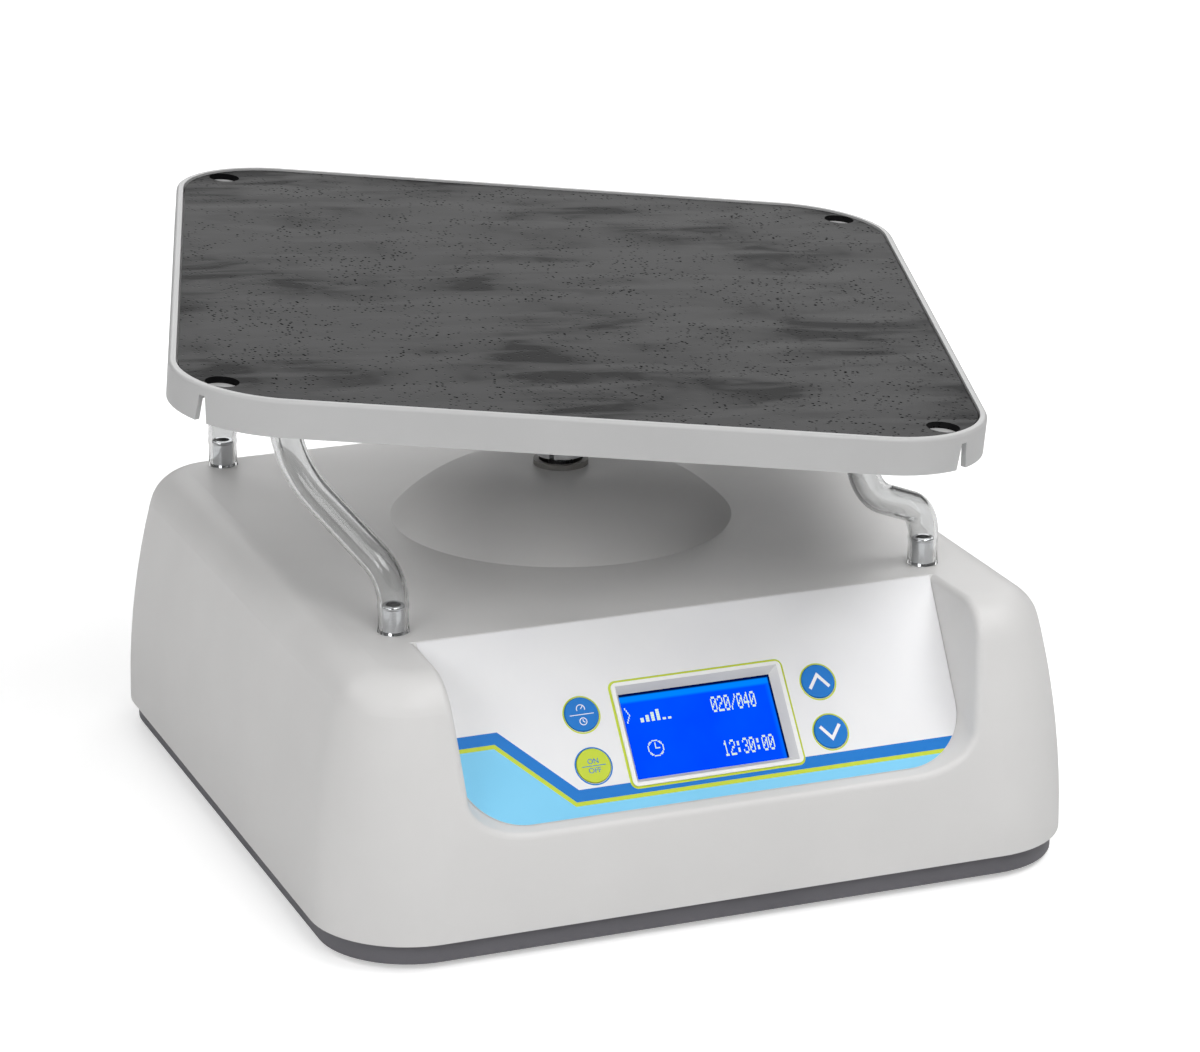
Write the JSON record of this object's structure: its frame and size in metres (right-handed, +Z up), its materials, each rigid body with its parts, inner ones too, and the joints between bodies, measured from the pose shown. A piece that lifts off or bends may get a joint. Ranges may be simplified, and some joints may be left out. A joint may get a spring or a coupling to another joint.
{
  "type": "three-dimensional shaker",
  "caption": "Bench shaker with a moulded case, sloped control panel and a square padded tray that leans and nutates on a tilted crank, held from turning by clear flexible tubes.",
  "frame": {"origin": "on the bench under the drive shaft, which stands on the Z axis", "axes": "+Z up, the control panel faces -Y, +X to the right of a person who faces the panel"},
  "size_m": [0.4321, 0.4528, 0.2545],
  "materials": {
    "housing_plastic": "fine satin moulding, warm light grey",
    "base_plastic": "dark grey satin",
    "ring_plastic": "grey satin",
    "tray_plastic": "light grey satin moulding",
    "mat_rubber": "black, fine speckled grain",
    "belt_rubber": "black moulded",
    "clear_vinyl": "clear soft tube",
    "overlay": "printed film, off-white",
    "white_plastic": "white",
    "display": "blue backlit display under clear glass",
    "button_blue": "printed film button, blue",
    "button_lime": "printed film button, lime",
    "circuit_board": "glass-filled board with green mask",
    "black_plastic": "black moulded",
    "steel": "ground and zinc-plated steel",
    "chrome": "polished",
    "aluminium": "machined",
    "motor_paint": "black"
  },
  "bodies": {
    "base": {"housing": "housing_plastic", "base_pan": "base_plastic", "base_screws": "steel", "shaft_ring": "ring_plastic", "panel_overlay": "overlay", "display_bezel": "white_plastic", "display_glass": "display", "display_module": "steel", "control_board": "circuit_board", "board_screws": "steel", "button_switches": "black_plastic", "base_pegs": "chrome", "peg_nuts": "steel", "drive_plate": "steel", "plate_pillars": "steel", "pillar_screws": "steel", "bearing_tower": "aluminium", "tower_screws": "steel", "lower_shaft_bearing": "steel", "upper_shaft_bearing": "steel", "gearbox": "aluminium", "motor": "motor_paint", "motor_screws": "steel", "timing_belt": "belt_rubber", "power_board": "circuit_board", "power_standoffs": "white_plastic", "power_inlet": "black_plastic", "inlet_screws": "steel", "switch_body": "black_plastic", "clear_tube_front_left": "clear_vinyl", "foot_front_left": "mat_rubber", "clear_tube_front_right": "clear_vinyl", "foot_front_right": "mat_rubber", "clear_tube_back_left": "clear_vinyl", "foot_back_left": "mat_rubber", "clear_tube_back_right": "clear_vinyl", "foot_back_right": "mat_rubber"},
    "drive_crank": {"main_shaft": "steel", "shaft_collar": "steel", "driven_pulley": "aluminium", "crank_hub": "aluminium", "clamp_screw": "steel", "crank_pin": "steel", "pin_cap_screw": "steel"},
    "platform": {"deck_tray": "tray_plastic", "deck_mat": "mat_rubber", "deck_hub": "aluminium", "upper_deck_bearing": "steel", "lower_deck_bearing": "steel", "hub_screws": "steel", "deck_pegs": "chrome"},
    "motor_rotor": {"motor_pulley": "aluminium", "motor_shaft": "steel"},
    "rocker": {"switch_rocker": "black_plastic"},
    "button_left_upper": {"button_left_upper": "button_blue"},
    "button_left_lower": {"button_left_lower": "button_lime"},
    "button_right_upper": {"button_right_upper": "button_blue"},
    "button_right_lower": {"button_right_lower": "button_blue"}
  },
  "joints": [
    {"name": "drive_shaft", "type": "hinge", "parent": "base", "child": "drive_crank", "pos_m": [0, 0, 0.1], "axis": [0, 0, 1], "continuous": true, "deforming": ["clear_tube_front_left", "clear_tube_front_right", "clear_tube_back_left", "clear_tube_back_right"]},
    {"name": "deck_bearing", "type": "hinge", "parent": "drive_crank", "child": "platform", "pos_m": [0, 0, 0.2511], "axis": [0.08, -0.0389, 0.996], "continuous": true},
    {"name": "motor_spin", "type": "hinge", "parent": "base", "child": "motor_rotor", "pos_m": [0.08933, 0, 0.04], "axis": [0, 0, 1], "continuous": true},
    {"name": "power_rocker", "type": "hinge", "parent": "base", "child": "rocker", "pos_m": [-0.02, 0.1646, 0.048], "axis": [1, 0, 0], "range_deg": [0, 18]},
    {"name": "press_left_upper", "type": "slide", "parent": "base", "child": "button_left_upper", "axis": [0, 0.7842, -0.6205], "range_m": [0, 0.001], "stiffness_N_per_m": 900},
    {"name": "press_left_lower", "type": "slide", "parent": "base", "child": "button_left_lower", "axis": [0, 0.7842, -0.6205], "range_m": [0, 0.001], "stiffness_N_per_m": 900},
    {"name": "press_right_upper", "type": "slide", "parent": "base", "child": "button_right_upper", "axis": [0, 0.7842, -0.6205], "range_m": [0, 0.001], "stiffness_N_per_m": 900},
    {"name": "press_right_lower", "type": "slide", "parent": "base", "child": "button_right_lower", "axis": [0, 0.7842, -0.6205], "range_m": [0, 0.001], "stiffness_N_per_m": 900}
  ],
  "couplings": [
    {"joint": "deck_bearing", "follows": "drive_shaft", "ratio": -1},
    {"joint": "motor_spin", "follows": "drive_shaft", "ratio": 3}
  ]
}
